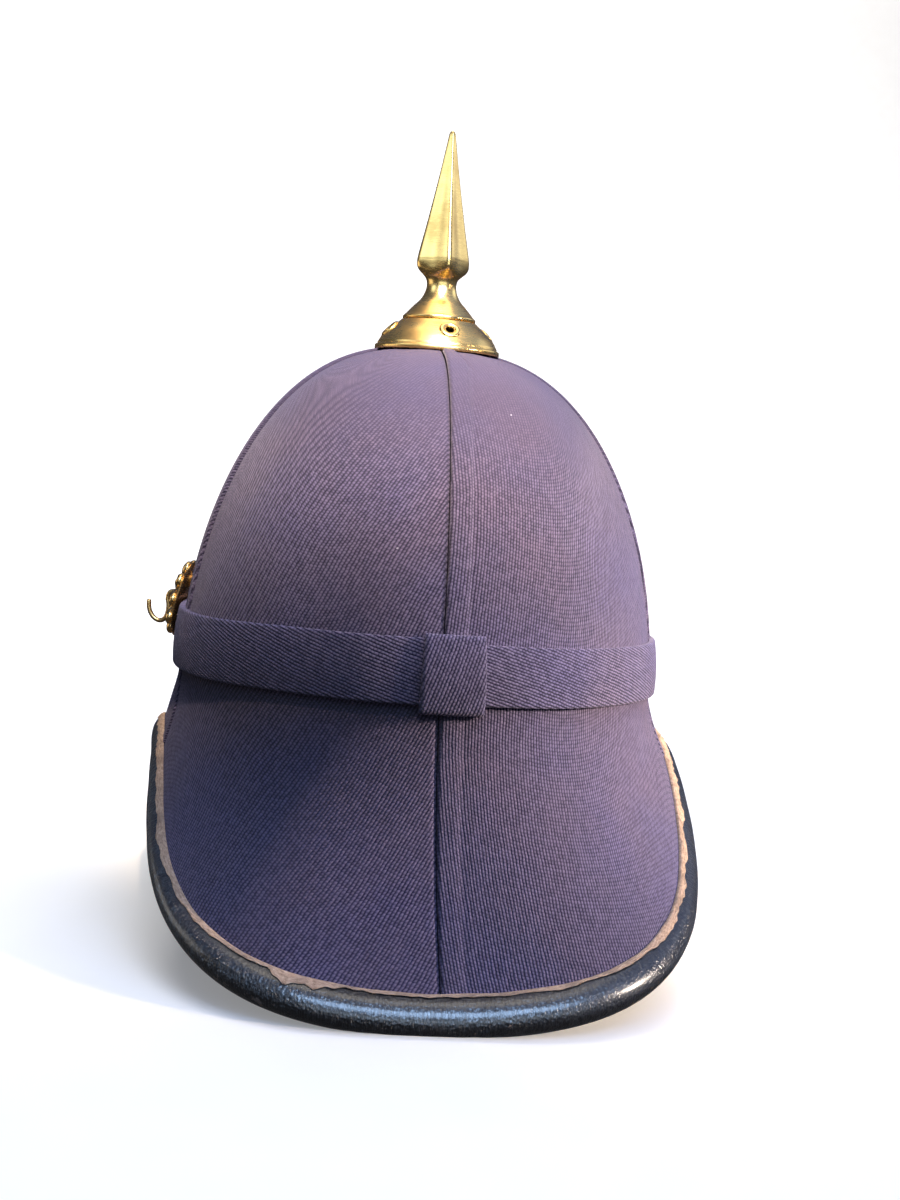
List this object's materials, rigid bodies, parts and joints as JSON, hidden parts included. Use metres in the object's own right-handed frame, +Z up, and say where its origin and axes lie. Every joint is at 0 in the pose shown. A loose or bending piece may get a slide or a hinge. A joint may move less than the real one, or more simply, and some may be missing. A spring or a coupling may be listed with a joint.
{
  "type": "ceremonial police helmet",
  "caption": "Tall cloth-covered helmet with a swept leather-bound brim, a cloth band with a keeper, brass side rosettes, the left one with a chain hook, and a brass spike on a vented base.",
  "frame": {"origin": "on the ground under the middle of the helmet, on the spike's axis", "axes": "+Z up along the spike, -Y towards the front peak, +X towards the wearer's left"},
  "size_m": [0.2253, 0.3262, 0.3192],
  "materials": {
    "cloth": "matte navy-purple wool twill over cork",
    "band_cloth": "matte navy wool twill",
    "leather": "satin black leather with a raw tan cut edge",
    "brass": "polished brass"
  },
  "bodies": {
    "root": {"panel_back_left": "cloth", "panel_back_right": "cloth", "panel_front_left": "cloth", "panel_front_right": "cloth", "band": "band_cloth", "keeper": "band_cloth", "brim_binding": "leather", "spike_base": "brass", "spike": "brass", "side_boss_left": "brass", "side_boss_right": "brass"}
  },
  "joints": []
}
